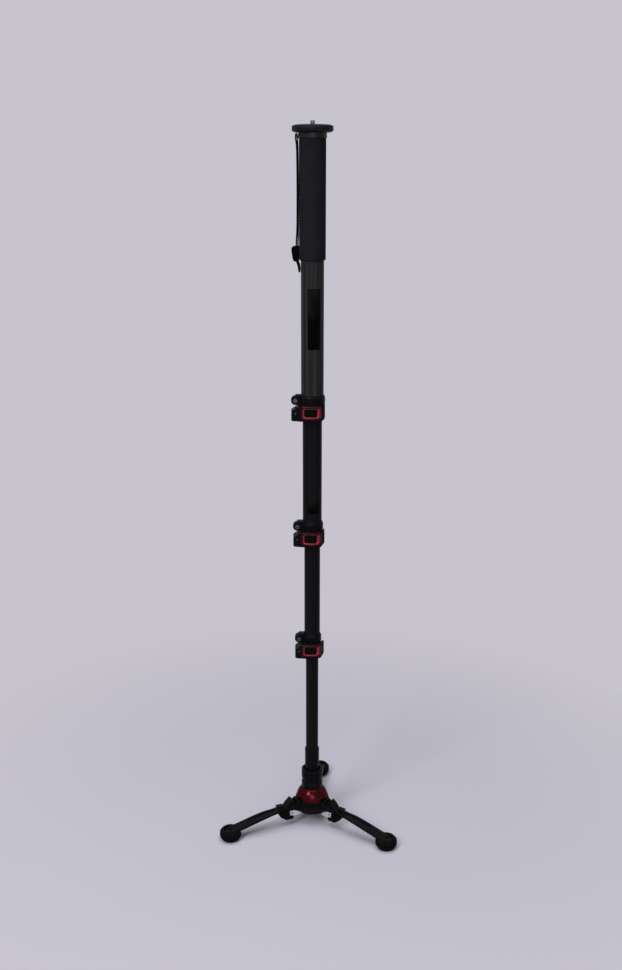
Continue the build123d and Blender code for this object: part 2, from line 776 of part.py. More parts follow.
# Hub: turned bowl with three pairs of hinge cheeks
slot_half_width = knuckle_half_width + cheek_gap
cheek_outer = slot_half_width + cheek_thickness
with BuildPart() as hub:
    with BuildSketch(Plane.XZ):
        with BuildLine():
            Polyline(
                (0, hub_bottom),
                (hub_foot_radius, hub_bottom),
                (hub_knee_radius, ball_level - hub_knee_drop),
                (hub_belly_radius, ball_level - hub_belly_drop),
                (hub_radius, ball_level - hub_shoulder_drop),
                (hub_radius, hub_rim_level),
                (0, hub_rim_level),
                close=True)
        make_face()
    revolve(axis=Axis.Z)
    for azimuth in leg_azimuths:
        with BuildSketch(leg_plane(azimuth)):
            with Locations((hinge_reach, hinge_level)):
                Circle(cheek_radius)
            with BuildLine():
                Polyline(
                    (cheek_root, cheek_root_bottom),
                    (hinge_reach, hinge_level - cheek_radius),
                    (hinge_reach, hinge_level + cheek_radius),
                    (cheek_dip_reach, cheek_dip_level),
                    (post_reach, post_top),
                    (cheek_root, post_top),
                    close=True)
            make_face()
        extrude(amount=cheek_outer, both=True)
    for azimuth in leg_azimuths:
        with BuildSketch(leg_plane(azimuth)):
            with Locations((hinge_reach, hinge_level)):
                Circle(knuckle_peak_height + slip_gap)
            with BuildLine():
                Polyline(
                    (hub_belly_radius - soft_edge, 0),
                    (2 * hinge_reach, 0),
                    (2 * hinge_reach, 2 * hinge_level),
                    (hinge_reach, 2 * hinge_level),
                    (hinge_reach, hinge_level),
                    (hub_belly_radius - soft_edge, ball_level - hub_belly_drop + 2 * soft_edge),
                    close=True)
            make_face()
        extrude(amount=slot_half_width, both=True, mode=Mode.SUBTRACT)
        with BuildSketch(leg_plane(azimuth)):
            with Locations((hinge_reach, hinge_level)):
                Circle(hinge_pin_radius)
        extrude(amount=cheek_outer + overrun, both=True, mode=Mode.SUBTRACT)
    # Bowl for the seat and the ball, closed by the socket ring above
    with BuildSketch(Plane.XZ):
        with BuildLine():
            Polyline(
                (0, seat_bottom - seat_gap),
                (seat_base_radius + seat_gap, seat_bottom - seat_gap),
                (seat_lip_radius + seat_gap, seat_top + seat_gap),
                (hub_bore_radius, seat_top + seat_gap),
                (hub_bore_radius, hub_rim_level),
                (ring_radius + ring_gap, hub_rim_level),
                (ring_radius + ring_gap, 2 * hub_rim_level),
                (0, 2 * hub_rim_level),
                close=True)
        make_face()
    revolve(axis=Axis.Z, mode=Mode.SUBTRACT)
    with BuildSketch(Plane.XY.offset(hub_bottom)):
        Circle(hub_cap_radius)
    extrude(amount=hub_cap_thickness, mode=Mode.SUBTRACT)
pieces["hub"] = hub.part

pieces["hub_cap"] = tube_piece(hub_bottom, hub_bottom + hub_cap_thickness, hub_cap_radius, hinge_pin_radius)

with BuildPart() as socket_ring:
    with BuildSketch(Plane.XZ):
        with BuildLine():
            Polyline(
                (ball_radius / 2, hub_rim_level),
                (ring_radius, hub_rim_level),
                (ring_radius, ring_top),
                (ball_radius / 2, ring_top),
                close=True)
        make_face()
        with Locations((0, ball_level)):
            Circle(ball_radius + ring_gap, mode=Mode.SUBTRACT)
    revolve(axis=Axis.Z)
pieces["socket_ring"] = socket_ring.part

hinge_pins = []
for azimuth in leg_azimuths:
    with BuildPart() as hinge_pin:
        with BuildSketch(leg_plane(azimuth)):
            with Locations((hinge_reach, hinge_level)):
                Circle(hinge_pin_radius)
        extrude(amount=cheek_outer, both=True)
    hinge_pins.append(hinge_pin.part)
pieces["hinge_pins"] = Compound(hinge_pins)


heel_centre = arm_top[-1][0]


def heel_plan(start):
    with Locations((heel_centre, 0)):
        Circle(arm_half_width)
    with Locations(((start + heel_centre) / 2, 0)):
        Rectangle(heel_centre - start, 2 * arm_half_width)


def arm_level(reach):
    for (near, near_level), (far, far_level) in zip(arm_top, arm_top[1:]):
        if near <= reach <= far:
            return near_level + (far_level - near_level) * (reach - near) / (far - near)


def leg_pieces(name, azimuth):
    plane = leg_plane(azimuth)
    floor = Plane.XY.rotated((0, 0, azimuth))
    foot_x, foot_y, _ = floor.from_local_coords((foot_centre, 0, 0))
    with BuildPart() as arm:
        # Side view: knuckle with its peaked root, then the bowed arm
        with BuildSketch(plane):
            with BuildLine():
                Polyline(*arm_top, *reversed(arm_bottom), close=True)
            make_face()
            with Locations((hinge_reach, hinge_level)):
                Circle(knuckle_radius)
            with BuildLine():
                Polyline(
                    (hinge_reach - knuckle_radius, hinge_level),
                    (hinge_reach - knuckle_back_reach, hinge_level + knuckle_back_height),
                    (hinge_reach, hinge_level + knuckle_peak_height),
                    arm_top[0],
                    arm_bottom[0],
                    (hinge_reach, hinge_level - knuckle_radius),
                    close=True)
            make_face()
        extrude(amount=arm_half_width, both=True)
        # In plan the arm is narrow behind its knuckle and widens towards the foot
        with BuildSketch(floor):
            with BuildLine():
                root = (hinge_reach - knuckle_peak_height, knuckle_half_width)
                far_side = [root, *arm_plan, (heel_centre, arm_half_width)]
                near_side = [(reach, -half) for reach, half in reversed(far_side)]
                Polyline(*far_side, *near_side, close=True)
            make_face()
        extrude(amount=2 * hinge_level, mode=Mode.INTERSECT)
        with BuildSketch(plane):
            with Locations((latch_pivot_reach, latch_pivot_level)):
                Circle(latch_lug_radius)
            with Locations((latch_pivot_reach, (latch_pivot_level + hinge_level) / 2)):
                Rectangle(2 * latch_lug_radius, hinge_level - latch_pivot_level)
        extrude(amount=latch_lug_half_width, both=True)
        with BuildSketch(plane):
            with Locations((hinge_reach, hinge_level)):
                Circle(hinge_pin_radius + running_gap)
            with Locations((latch_pivot_reach, latch_pivot_level)):
                Circle(latch_pin_radius)
        extrude(amount=cheek_outer, both=True, mode=Mode.SUBTRACT)
        with BuildSketch(plane):
            with BuildLine():
                inner = [(reach, level - recess_depth) for reach, level in arm_top[1:5]]
                Polyline(*inner, (inner[-1][0], 2 * hinge_level), (inner[0][0], 2 * hinge_level), close=True)
            make_face()
        extrude(amount=recess_half_width, both=True, mode=Mode.SUBTRACT)
        # Heel that stands in the foot
        with BuildSketch(floor.offset(heel_bottom)):
            heel_plan(heel_start)
        extrude(amount=heel_top - heel_bottom)
        with BuildSketch(floor):
            with Locations(*[(reach, 0) for reach in small_screw_reaches]):
                Circle(small_screw_radius)
        extrude(amount=2 * hinge_level, mode=Mode.SUBTRACT)
        with BuildSketch(floor.offset(heel_top - foot_screw_head)):
            with Locations((heel_centre, 0)):
                Circle(foot_screw_radius)
        extrude(amount=2 * hinge_level, mode=Mode.SUBTRACT)
        with BuildSketch(floor):
            with Locations((heel_centre, 0)):
                Circle(bolt_radius)
        extrude(amount=2 * hinge_level, mode=Mode.SUBTRACT)
    pieces[f"leg_{name}_arm"] = arm.part

    with BuildPart() as foot:
        add(turned([
            (0, 0),
            (foot_sole_radius, 0),
            (foot_radius, foot_flare_height),
            (foot_radius, foot_shoulder_height),
            (foot_top_radius, foot_height),
            (0, foot_height)]).moved(Location((foot_x, foot_y, 0))))
        with BuildSketch(floor.offset(heel_bottom)):
            heel_plan(foot_centre - 2 * foot_radius)
        extrude(amount=foot_height, mode=Mode.SUBTRACT)
        with BuildSketch(floor.offset(foot_screw_bottom)):
            with Locations((heel_centre, 0)):
                Circle(bolt_radius)
        extrude(amount=foot_height, mode=Mode.SUBTRACT)
    pieces[f"leg_{name}_foot"] = foot.part

    screws = []
    for reach in small_screw_reaches:
        level = arm_level(reach) - small_screw_sunk
        with BuildPart() as small_screw:
            with BuildSketch(floor.offset(level - small_screw_length)):
                with Locations((reach, 0)):
                    Circle(small_screw_radius)
            extrude(amount=small_screw_length)
        screws.append(small_screw.part)
    with BuildPart() as foot_screw:
        with BuildSketch(floor.offset(foot_screw_bottom)):
            with Locations((heel_centre, 0)):
                Circle(bolt_radius)
        extrude(amount=heel_top - foot_screw_bottom)
        with BuildSketch(floor.offset(heel_top - foot_screw_head)):
            with Locations((heel_centre, 0)):
                Circle(foot_screw_radius)
        extrude(amount=foot_screw_head)
    with BuildPart() as latch_pin:
        with BuildSketch(plane):
            with Locations((latch_pivot_reach, latch_pivot_level)):
                Circle(latch_pin_radius)
        extrude(amount=latch_half_width, both=True)
    pieces[f"leg_{name}_screws"] = Compound([*screws, foot_screw.part, latch_pin.part])

    with BuildPart() as tab:
        with BuildSketch(plane):
            with BuildLine():
                Polyline(
                    (tab_start, arm_level(tab_start)),
                    (tab_post_end, arm_level(tab_post_end)),
                    (tab_post_end, tab_level),
                    (tab_end, tab_level),
                    (tab_end, tab_level + tab_thickness),
                    (tab_start, tab_level + tab_thickness),
                    close=True)
            make_face()
        extrude(amount=tab_half_width, both=True)
    pieces[f"leg_{name}_tab"] = tab.part

    with BuildPart() as latch:
        with BuildSketch(plane):
            with BuildLine():
                Polyline(*latch_outline, close=True)
            make_face()
        extrude(amount=latch_half_width, both=True)
        with BuildSketch(floor):
            with Locations((latch_slot_start + latch_half_width, 0)):
                Rectangle(2 * latch_half_width, 2 * (latch_lug_half_width + cheek_gap))
        extrude(amount=hinge_level, mode=Mode.SUBTRACT)
        with BuildSketch(plane):
            with Locations((latch_pivot_reach, latch_pivot_level)):
                Circle(latch_pin_radius + running_gap)
        extrude(amount=latch_half_width, both=True, mode=Mode.SUBTRACT)
    pieces[f"leg_{name}_latch"] = latch.part

    with BuildPart() as latch_grip:
        with BuildSketch(plane):
            with BuildLine():
                Polyline(*block_outline, close=True)
            make_face()
        extrude(amount=block_half_width, both=True)
        with BuildSketch(plane):
            with BuildLine():
                Polyline(*latch_outline, close=True)
            make_face()
        extrude(amount=latch_half_width, both=True, mode=Mode.SUBTRACT)
    pieces[f"leg_{name}_grip"] = latch_grip.part


for name, azimuth in zip(leg_names, leg_azimuths):
    leg_pieces(name, azimuth)

# The origin goes under the middle of the bounding box
boxes = [piece.bounding_box() for piece in pieces.values()]
shift_x = -(min(box.min.X for box in boxes) + max(box.max.X for box in boxes)) / 2
shift_y = -(min(box.min.Y for box in boxes) + max(box.max.Y for box in boxes)) / 2

os.makedirs("parts", exist_ok=True)
for name, piece in pieces.items():
    placed = Pos(shift_x, shift_y, 0) * piece
    placed.label = name
    export_step(placed, f"parts/{name}.step")
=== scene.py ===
from math import cos, pi, radians, sin

import bmesh
import bpy
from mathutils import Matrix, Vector


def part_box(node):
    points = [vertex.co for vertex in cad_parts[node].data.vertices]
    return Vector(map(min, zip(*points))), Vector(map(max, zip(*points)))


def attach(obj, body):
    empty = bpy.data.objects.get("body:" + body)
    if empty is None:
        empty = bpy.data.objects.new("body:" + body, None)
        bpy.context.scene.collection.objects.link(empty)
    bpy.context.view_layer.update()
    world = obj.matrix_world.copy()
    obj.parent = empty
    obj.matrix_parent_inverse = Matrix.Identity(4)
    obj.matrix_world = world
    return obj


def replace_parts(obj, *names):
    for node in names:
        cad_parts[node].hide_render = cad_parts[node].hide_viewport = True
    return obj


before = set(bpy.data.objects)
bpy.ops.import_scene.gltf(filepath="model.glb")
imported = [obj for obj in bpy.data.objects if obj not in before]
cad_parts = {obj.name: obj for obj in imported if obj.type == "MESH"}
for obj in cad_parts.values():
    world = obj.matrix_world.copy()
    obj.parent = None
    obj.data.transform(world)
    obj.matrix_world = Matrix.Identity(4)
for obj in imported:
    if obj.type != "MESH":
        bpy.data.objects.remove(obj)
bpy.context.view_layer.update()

# Lengths are in metres. Outlines of small pieces are written in millimetres, and MM turns those into metres.
MM = 0.001

# The pole's axis and the top tube's radius, read from the CAD nodes
tube_low, tube_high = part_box("tube_1")
POLE_X = (tube_low[0] + tube_high[0]) / 2
POLE_Y = (tube_low[1] + tube_high[1]) / 2
TUBE_1_RADIUS = (tube_high[0] - tube_low[0]) / 2

# The studio's colours in linear light
BACKDROP = (0.573, 0.552, 0.610)
FLOOR = (0.592, 0.575, 0.662)
DARK_STUDIO = (0.07, 0.07, 0.074)
# The rays that see the pale backdrop; all others meet the dark studio
SEEN_BY = ("Is Camera Ray", "Is Glossy Ray", "Is Transmission Ray")


class Wire:
    """A shader socket that takes part in Python sums."""

    def __init__(self, nodes, socket):
        self.nodes = nodes
        self.socket = socket

    def __add__(self, other):
        return self.nodes.maths("ADD", self, other)

    def __sub__(self, other):
        return self.nodes.maths("SUBTRACT", self, other)

    def __rsub__(self, other):
        return self.nodes.maths("SUBTRACT", other, self)

    def __mul__(self, other):
        return self.nodes.maths("MULTIPLY", self, other)

    def __truediv__(self, other):
        return self.nodes.maths("DIVIDE", self, other)

    def __rtruediv__(self, other):
        return self.nodes.maths("DIVIDE", other, self)

    def __gt__(self, other):
        return self.nodes.maths("GREATER_THAN", self, other)

    def __lt__(self, other):
        return self.nodes.maths("LESS_THAN", self, other)

    __radd__ = __add__
    __rmul__ = __mul__

    def wave(self, period):
        return self.nodes.maths("SINE", self * (2 * pi / period))

    def power(self, exponent):
        return self.nodes.maths("POWER", self, exponent)

    def clamp(self):
        return self.nodes.node("ShaderNodeClamp", {}, {"Value": self})


class Nodes:
    """The shader nodes of one finish, or of the air in the studio."""

    def __init__(self, tree, shader):
        self.tree = tree
        self.shader = tree.nodes[shader]

    def feed(self, socket, value):
        if isinstance(value, Wire):
            self.tree.links.new(value.socket, socket)
        else:
            socket.default_value = value

    def put(self, name, value):
        self.feed(self.shader.inputs[name], value)

    def node(self, kind, settings, sockets, output=0):
        made = self.tree.nodes.new(kind)
        for key, value in settings.items():
            setattr(made, key, value)
        for key, value in sockets.items():
            self.feed(made.inputs[key], value)
        return Wire(self, made.outputs[output])

    def maths(self, operation, *terms):
        return self.node("ShaderNodeMath", {"operation": operation}, dict(enumerate(terms)))

    def blend(self, amount, first, second):
        """Colour between two colours, by an amount from 0 to 1."""
        mixed = self.node("ShaderNodeMix", {"data_type": "RGBA"}, {"Factor": amount}).socket.node
        inputs = [socket for socket in mixed.inputs if socket.type == "RGBA"]
        for socket, colour in zip(inputs, (first, second)):
            self.feed(socket, colour if isinstance(colour, Wire) else (*colour, 1))
        return Wire(self, next(socket for socket in mixed.outputs if socket.type == "RGBA"))

    def backdrop(self):
        """The backdrop's colour to the rays that see it, and the dark studio's to all others."""
        seen = sum(self.node("ShaderNodeLightPath", {}, {}, ray) for ray in SEEN_BY)
        return self.blend(seen, DARK_STUDIO, BACKDROP)

    def place(self):
        return self.node("ShaderNodeTexCoord", {}, {}, "Object")

    def parts(self, vector):
        split = self.node("ShaderNodeSeparateXYZ", {}, {0: vector}).socket.node
        return [Wire(self, output) for output in split.outputs]

    def around_pole(self):
        """The way round the pole in metres at the top tube's radius, and the height."""
        x, y, z = self.parts(self.place())
        return self.maths("ARCTAN2", y - POLE_Y, x - POLE_X) * TUBE_1_RADIUS, z

    def noise(self, scale, detail, vector=None):
        return self.node("ShaderNodeTexNoise", {}, {
            "Vector": vector or self.place(), "Scale": scale, "Detail": detail, "Roughness": 0.55})

    def cells(self, scale):
        return self.node("ShaderNodeTexVoronoi", {}, {"Vector": self.place(), "Scale": scale})


class Finish(Nodes):
    """One procedural material of the monopod or its floor."""

    def __init__(self, name, colour, roughness, metallic=0.0, coat=0.0, coat_roughness=0.1, specular=0.5):
        self.material = bpy.data.materials.new(name)
        self.material.use_nodes = True
        super().__init__(self.material.node_tree, "Principled BSDF")
        self.put("Base Color", (*colour, 1))
        self.put("Roughness", roughness)
        self.put("Metallic", metallic)
        self.put("Coat Weight", coat)
        self.put("Coat Roughness", coat_roughness)
        self.put("Specular IOR Level", specular)

    def drift(self, amount, dark, light, smoothest, spread):
        """Colour and roughness that wander over the surface together."""
        self.put("Base Color", self.blend(amount, dark, light))
        self.put("Roughness", amount * spread + smoothest)

    def bump(self, height, strength, distance, edge=0.4 * MM):
        """Fine relief on a surface whose sharp edges look slightly rounded."""
        rounded = self.node("ShaderNodeBevel", {"samples": 4}, {"Radius": edge})
        self.put("Normal", self.node("ShaderNodeBump", {}, {
            "Height": height, "Strength": strength, "Distance": distance, "Normal": rounded}))


# Widths that repeat in the finishes: one tow of the carbon cloth, one rib of a lever's pad, and the threads
# along and across the strap
TOW_WIDTH = 2.2 * MM
PAD_RIB = 3.0 * MM
STRAP_PICK = 1.1 * MM
STRAP_END = 0.9 * MM

# The bare oval on the ball's front: where it faces, its middle level and its half sizes
BADGE_AZIMUTH = radians(26)
BADGE_LEVEL = 50.5 * MM
BADGE_HALF_WIDTH = 6.8 * MM
BADGE_HALF_HEIGHT = 4.5 * MM


def carbon_weave(name, dark, light, shine):
    """Twill of carbon tows under a clear coat, with the streaks and broad bands of a drawn tube."""
    made = Finish(name, light, 0.32, coat=shine, coat_roughness=0.16, specular=shine)
    along, height = made.around_pole()
    over = (along + height).wave(TOW_WIDTH * 2)
    under = (along - height).wave(TOW_WIDTH * 2)
    twill = ((over * under) * 0.5 + 0.5).clamp()
    fine = made.node("ShaderNodeCombineXYZ", {}, {0: along * 900.0, 2: height * 6.0})
    streak = made.noise(1.0, 3.0, fine)
    broad = made.node("ShaderNodeCombineXYZ", {}, {0: along * 260.0, 2: height * 2.5})
    band = made.noise(1.0, 2.0, broad)
    made.put("Base Color", made.blend((twill * 0.22 + streak * 0.7 + band * 1.6 - 0.82).clamp(), dark, light))
    made.put("Roughness", twill * 0.08 + 0.26 + streak * 0.10)
    made.bump(twill + streak * 0.5, 0.2, 0.05 * MM)
    return made.material


def foam_skin():
    """Closed foam with fine cells."""
    made = Finish("foam_grip", (0.010, 0.010, 0.012), 0.85, specular=0.05)
    made.drift(made.noise(60.0, 5.0), (0.0098, 0.0094, 0.0122), (0.0205, 0.0196, 0.0250), 0.75, 0.15)
    made.bump(made.cells(900.0) * 0.6 + made.noise(420.0, 6.0) * 0.6, 0.35, 0.15 * MM, edge=1.2 * MM)
    return made.material


def black_metal(name, dark, light, roughness, specular):
    """Black anodised aluminium."""
    made = Finish(name, light, roughness, metallic=0.10, specular=specular)
    grain = made.noise(1600.0, 3.0)
    cloud = made.noise(35.0, 4.0)
    made.put("Base Color", made.blend(cloud, dark, light))
    made.put("Roughness", cloud * 0.10 + roughness - 0.05 + grain * 0.05)
    made.bump(grain, 0.12, 0.03 * MM)
    return made.material


def black_moulding():
    """Black plastic with the fine grain of its mould."""
    made = Finish("black_moulding", (0.004, 0.004, 0.005), 0.42, specular=0.05)
    made.drift(made.noise(50.0, 4.0), (0.0022, 0.0020, 0.0027), (0.0052, 0.0049, 0.0060), 0.34, 0.14)
    made.bump(made.cells(1500.0), 0.18, 0.04 * MM)
    return made.material


def black_rubber():
    """Dull rubber of the feet and of the blocks on the latches."""
    made = Finish("black_rubber", (0.004, 0.004, 0.005), 0.72, specular=0.03)
    made.drift(made.noise(80.0, 6.0), (0.0022, 0.0021, 0.0026), (0.0056, 0.0054, 0.0066), 0.58, 0.2)
    made.bump(made.noise(900.0, 5.0), 0.25, 0.08 * MM, edge=0.8 * MM)
    return made.material


def ribbed_pad():
    """Upright ribs on the pad inside a lever's rim, with painted shade in the grooves between them."""
    made = Finish("ribbed_pad", (0.004, 0.004, 0.004), 0.6, specular=0.03)
    across = made.parts(made.place())[0]
    rib_relief_and_shade = (across.wave(PAD_RIB) * 0.5 + 0.5).power(0.6)
    # Painted shade: the colour is darker in the grooves between the ribs and lighter on their crests
    made.drift(rib_relief_and_shade, (0.0015, 0.0014, 0.0014), (0.0060, 0.0056, 0.0056), 0.5, 0.1)
    made.bump(rib_relief_and_shade, 0.8, 0.6 * MM)
    return made.material


def red_gloss():
    """Red anodised ball, with a bare shallow oval on its front."""
    made = Finish("red_ball", (0.16, 0.010, 0.018), 0.2, metallic=0.85, coat=0.06, coat_roughness=0.06)
    made.put("Specular Tint", (0.30, 0.03, 0.05, 1))
    x, y, z = made.parts(made.place())
    side = x - POLE_X
    depth = y - POLE_Y
    across = (side * cos(BADGE_AZIMUTH) + depth * sin(BADGE_AZIMUTH)) / BADGE_HALF_WIDTH
    outwards = side * sin(BADGE_AZIMUTH) - depth * cos(BADGE_AZIMUTH)
    upward = (z - BADGE_LEVEL) / BADGE_HALF_HEIGHT
    ring = across * across + upward * upward
    sunk = ((ring < 1.0) * (outwards > 0.0)).clamp()
    cloud = made.noise(30.0, 3.0)
    plain = made.blend(cloud, (0.040, 0.002, 0.004), (0.080, 0.006, 0.010))
    made.put("Base Color", made.blend(sunk * 0.7, plain, (0.020, 0.003, 0.004)))
    made.put("Roughness", cloud * 0.05 + 0.17 + sunk * 0.08)
    made.bump(sunk * -1.0 + made.noise(2400.0, 2.0) * 0.02, 0.9, 0.6 * MM)
    return made.material


def red_trim(name, dark, light):
    """Red lacquer of a lever's rim."""
    made = Finish(name, light, 0.36, metallic=0.3, coat=0.04, coat_roughness=0.2, specular=0.12)
    made.drift(made.noise(70.0, 4.0), dark, light, 0.32, 0.08)
    made.bump(made.noise(1400.0, 4.0), 0.08, 0.03 * MM, edge=0.2 * MM)
    return made.material


def silver_casting():
    """Bare light alloy of the latches."""
    made = Finish("silver_casting", (0.28, 0.28, 0.30), 0.36, metallic=0.9)
    made.drift(made.noise(60.0, 4.0), (0.62, 0.63, 0.66), (0.88, 0.89, 0.92), 0.30, 0.15)
    made.bump(made.noise(700.0, 5.0), 0.2, 0.05 * MM)
    return made.material


def steel(name, dark, light, roughness):
    """Steel with a fine grain and some handling wear."""
    made = Finish(name, light, roughness, metallic=0.9)
    made.drift(made.noise(220.0, 4.0), dark, light, roughness - 0.08, 0.2)
    made.bump(made.noise(1800.0, 3.0), 0.1, 0.03 * MM)
    return made.material


def bearing_plastic():
    """Dark grey plastic of the bushes, the liners and the ball's seat."""
    made = Finish("bearing_plastic", (0.06, 0.06, 0.065), 0.5)
    cloud = made.noise(120.0, 3.0)
    made.put("Base Color", made.blend(cloud, (0.045, 0.045, 0.05), (0.08, 0.08, 0.085)))
    made.bump(cloud, 0.1, 0.05 * MM)
    return made.material


def strap_weave():
    """Plain weave of the strap's black webbing."""
    made = Finish("strap_weave", (0.002, 0.002, 0.002), 0.8, specular=0.02)
    across, along = made.parts(made.place())[1:]
    weave = ((along.wave(STRAP_PICK) * across.wave(STRAP_END)) * 0.5 + 0.5).clamp()
    made.drift(weave, (0.0008, 0.0008, 0.0010), (0.0030, 0.0030, 0.0036), 0.7, 0.15)
    made.bump(weave, 0.7, 0.2 * MM)
    return made.material


def label_film():
    """Matt black film of the bare patches on the tubes."""
    made = Finish("label_film", (0.002, 0.002, 0.002), 0.4, specular=0.03)
    made.drift(made.noise(90.0, 3.0), (0.0008, 0.0008, 0.0008), (0.0020, 0.0020, 0.0020), 0.36, 0.1)
    return made.material


def slider_plastic():
    """Smooth black plastic of the strap's slider."""
    made = Finish("slider_plastic", (0.001, 0.001, 0.001), 0.5, specular=0.02)
    cloud = made.noise(150.0, 4.0)
    made.drift(cloud, (0.0006, 0.0005, 0.0008), (0.0018, 0.0016, 0.0022), 0.45, 0.1)
    made.bump(cloud, 0.1, 0.05 * MM)
    return made.material


UPPER_CARBON = carbon_weave("upper_carbon", (0.008, 0.008, 0.009), (0.048, 0.048, 0.050), 0.04)
LOWER_CARBON = carbon_weave("lower_carbon", (0.0020, 0.0020, 0.0026), (0.0140, 0.0134, 0.0158), 0.03)
FOAM_SKIN = foam_skin()
ANODISED = black_metal("black_anodised", (0.0028, 0.0026, 0.0033), (0.0066, 0.0062, 0.0078), 0.30, 0.05)
HEAD_METAL = black_metal("head_metal", (0.0120, 0.0116, 0.0136), (0.0230, 0.0222, 0.0262), 0.32, 0.16)
PLATFORM_BLACK = black_metal(
    "platform_black", (0.0080, 0.0078, 0.0092), (0.0160, 0.0154, 0.0184), 0.48, 0.07)
MOULDING = black_moulding()
RUBBER = black_rubber()
PAD = ribbed_pad()
RED_GLOSS = red_gloss()
# Two copies of the rims' red: a brighter one with painted light for the lip, and a darker one with painted
# shade for the bezel's outer slopes
LIT_RED_TRIM = red_trim("red_trim", (0.32, 0.028, 0.042), (0.46, 0.042, 0.062))
SHADED_TRIM = red_trim("shaded_red_trim", (0.028, 0.003, 0.005), (0.050, 0.005, 0.008))
CASTING = silver_casting()
BLACK_STEEL = steel("black_steel", (0.004, 0.004, 0.005), (0.014, 0.014, 0.016), 0.38)
BOLT_STEEL = steel("bolt_steel", (0.03, 0.03, 0.032), (0.14, 0.14, 0.145), 0.34)
BRIGHT_STEEL = steel("bright_steel", (0.10, 0.10, 0.105), (0.34, 0.34, 0.35), 0.30)
BEARING = bearing_plastic()
STRAP = strap_weave()
LABEL = label_film()
SLIDER = slider_plastic()

# The finish of a CAD node, by its whole name or else by the name's last word. The other nodes are anodised.
FINISH_BY_NAME = {
    "tube_1": UPPER_CARBON, "tube_2": LOWER_CARBON, "tube_3": LOWER_CARBON, "tube_4": LOWER_CARBON,
    "platform": HEAD_METAL, "neck": HEAD_METAL, "camera_stud": BRIGHT_STEEL, "grip": FOAM_SKIN,
    "wrist_strap": STRAP, "strap_slider": SLIDER, "swivel_ball": RED_GLOSS, "ball_seat": BEARING,
    "hinge_pins": BLACK_STEEL, "foot_spindle": BLACK_STEEL, "hub_cap": MOULDING,
    "lever_1": MOULDING, "lever_2": MOULDING, "lever_3": MOULDING}
FINISH_BY_LAST_WORD = {
    "bush": BEARING, "liner": BEARING, "bolts": BOLT_STEEL, "screws": BLACK_STEEL, "collar": MOULDING,
    "rim": LIT_RED_TRIM, "pad": PAD, "foot": RUBBER, "grip": RUBBER, "latch": CASTING}

for name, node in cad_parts.items():
    last_word = name.split("_")[-1]
    finish = FINISH_BY_NAME.get(name, FINISH_BY_LAST_WORD.get(last_word, ANODISED))
    if not node.material_slots:
        node.data.materials.append(finish)
    for held in node.material_slots:
        held.material = finish


def from_axis(x, y, level):
    """A place in metres, from millimetres out from the pole's axis and up from the floor."""
    return Vector((POLE_X + x * MM, POLE_Y + y * MM, level * MM))


def piece(name, mesh, finish, body):
    """A new piece of the monopod from a bmesh, riding on a CAD body."""
    bmesh.ops.recalc_face_normals(mesh, faces=mesh.faces)
    data = bpy.data.meshes.new(name)
    mesh.to_mesh(data)
    mesh.free()
    for face in data.polygons:
        face.use_smooth = True
    made = bpy.data.objects.new(name, data)
    bpy.context.collection.objects.link(made)
    data.materials.append(finish)
    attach(made, body)
    return made


def joined(mesh, first, second):
    """Faces between two closed rings of as many points."""
    for here in range(len(first)):
        after = (here + 1) % len(first)
        mesh.faces.new((first[here], first[after], second[after], second[here]))


def capped(mesh, rings):
    """A skin over rings in a row, with a face over each end."""
    for first, second in zip(rings, rings[1:]):
        joined(mesh, first, second)
    mesh.faces.new(rings[0])
    mesh.faces.new(rings[-1])


def looped(mesh, rings):
    """A skin over rings in a row of which the last joins the first."""
    for first, second in zip(rings, rings[1:] + rings[:1]):
        joined(mesh, first, second)


def rounded_outline(left, right, bottom, top, corner):
    """Points once round a rectangle with round corners."""
    corners = ((right - corner, top - corner, 0), (left + corner, top - corner, 1),
               (left + corner, bottom + corner, 2), (right - corner, bottom + corner, 3))
    steps = 6
    found = []
    for across, along, quarter in corners:
        for step in range(steps + 1):
            turn = (quarter + step / steps) * pi / 2
            found.append((across + corner * cos(turn), along + corner * sin(turn)))
    return found


def turned(name, profile, finish, body):
    """A piece turned about the pole's axis from a closed outline of (radius, level) in millimetres."""
    sides = 128
    turns = [2 * pi * side / sides for side in range(sides)]
    mesh = bmesh.new()
    looped(mesh, [
        [mesh.verts.new(from_axis(radius * cos(turn), radius * sin(turn), level)) for turn in turns]
        for radius, level in profile])
    return piece(name, mesh, finish, body)


def smooth_route(points):
    """Points along the NURBS line that has these control points."""
    data = bpy.data.curves.new("route", "CURVE")
    data.dimensions = "3D"
    data.resolution_u = 10
    spline = data.splines.new("NURBS")
    spline.points.add(len(points) - 1)
    for point, place in zip(spline.points, points):
        point.co = (*place, 1)
    spline.order_u = 3
    spline.use_endpoint_u = True
    holder = bpy.data.objects.new("route", data)
    bpy.context.collection.objects.link(holder)
    line = bpy.data.meshes.new_from_object(holder)
    found = [vertex.co.copy() for vertex in line.vertices]
    bpy.data.objects.remove(holder)
    return found


# The wrist strap follows the route of its CAD solid: (x from the pole's axis, level) in millimetres
STRAP_ROUTE = [
    (-20.3, 1024.3), (-19.3, 1013.8), (-19.3, 900.0), (-19.95, 889.0), (-19.95, 864.5), (-17.4, 859.5),
    (-17.1, 850.5), (-18.5, 850.5), (-19.3, 858.5), (-21.9, 864.5), (-22.4, 886.0), (-21.4, 900.0),
    (-20.7, 920.0), (-20.7, 1013.8), (-22.7, 1024.3), (-22.7, 1031.3), (-20.3, 1031.3), (-20.3, 1024.3)]
STRAP_WIDTH = 12 * MM
STRAP_THICKNESS = 1.9 * MM
# One face of the webbing from edge to edge, as shares of the half width and the half thickness. The woven
# edges are thicker.
STRAP_FACE_SHARES = [(-0.96, 1), (-0.86, 1), (-0.8, 0.75), (0, 0.7), (0.8, 0.75), (0.86, 1), (0.96, 1)]


